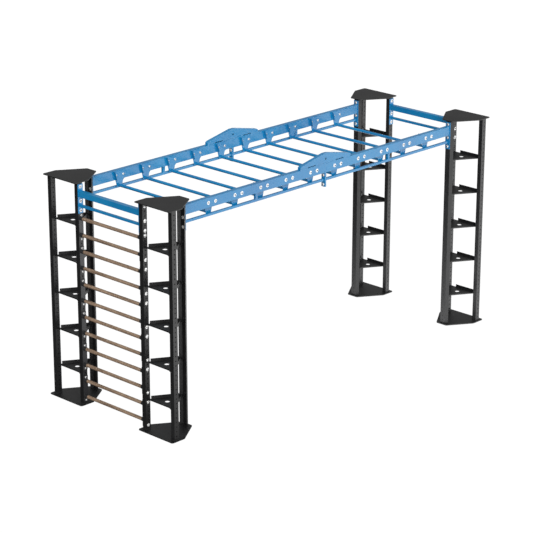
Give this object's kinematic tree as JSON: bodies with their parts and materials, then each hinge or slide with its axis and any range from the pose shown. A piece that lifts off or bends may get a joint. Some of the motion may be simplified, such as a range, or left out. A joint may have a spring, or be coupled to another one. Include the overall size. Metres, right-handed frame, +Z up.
{
  "type": "monkey bars",
  "caption": "Free-standing monkey bars: four perforated steel towers with shelves carry two long beams with hanging rungs, tied by end beams, with a climbing ladder at one end",
  "frame": {"origin": "centre of the footprint on the ground plane", "axes": "+X along the beams from the ladder end to the open end, +Y from the near beam to the far beam, +Z up"},
  "size_m": [4.9, 1.86, 2.44],
  "materials": {
    "black_coat": "satin black powder coat, fine texture",
    "blue_coat": "semi-gloss blue powder coat",
    "wood_grain": "brown wood, fine straight grain, sealed",
    "black_plastic": "matte black moulded",
    "black_hardware": "black coated steel",
    "zinc": "bright zinc-plated steel"
  },
  "bodies": {
    "root": {"beam_end_plates": "blue_coat", "beam_rail_ladder_far": "blue_coat", "beam_rail_ladder_near": "blue_coat", "beam_rail_open_far": "blue_coat", "beam_rail_open_near": "blue_coat", "beam_splice_flanges": "blue_coat", "beam_tube_ladder_far": "blue_coat", "beam_tube_ladder_near": "blue_coat", "beam_tube_open_far": "blue_coat", "beam_tube_open_near": "blue_coat", "end_bars": "blue_coat", "end_beam_ladder": "blue_coat", "end_beam_open": "blue_coat", "gusset_far": "blue_coat", "gusset_near": "blue_coat", "ladder_brackets": "black_hardware", "ladder_far_base_plate": "black_coat", "ladder_far_inner_leg": "black_coat", "ladder_far_outer_leg_minus": "black_coat", "ladder_far_outer_leg_plus": "black_coat", "ladder_far_shelves": "black_coat", "ladder_far_top_plate": "black_coat", "ladder_ferrules": "black_plastic", "ladder_near_base_plate": "black_coat", "ladder_near_inner_leg": "black_coat", "ladder_near_outer_leg_minus": "black_coat", "ladder_near_outer_leg_plus": "black_coat", "ladder_near_shelves": "black_coat", "ladder_near_top_plate": "black_coat", "ladder_rungs": "wood_grain", "long_bolts": "zinc", "nuts": "zinc", "open_far_base_plate": "black_coat", "open_far_inner_leg": "black_coat", "open_far_outer_leg_minus": "black_coat", "open_far_outer_leg_plus": "black_coat", "open_far_shelves": "black_coat", "open_far_top_plate": "black_coat", "open_near_base_plate": "black_coat", "open_near_inner_leg": "black_coat", "open_near_outer_leg_minus": "black_coat", "open_near_outer_leg_plus": "black_coat", "open_near_shelves": "black_coat", "open_near_top_plate": "black_coat", "overhead_rung_01": "blue_coat", "overhead_rung_02": "blue_coat", "overhead_rung_03": "blue_coat", "overhead_rung_04": "blue_coat", "overhead_rung_05": "blue_coat", "overhead_rung_06": "blue_coat", "overhead_rung_07": "blue_coat", "overhead_rung_08": "blue_coat", "overhead_rung_09": "blue_coat", "overhead_rung_10": "blue_coat", "rung_brackets_far": "blue_coat", "rung_brackets_near": "blue_coat", "shelf_inserts": "black_hardware", "shelf_screws": "black_hardware", "short_bolts": "zinc", "washers": "zinc"}
  },
  "joints": []
}
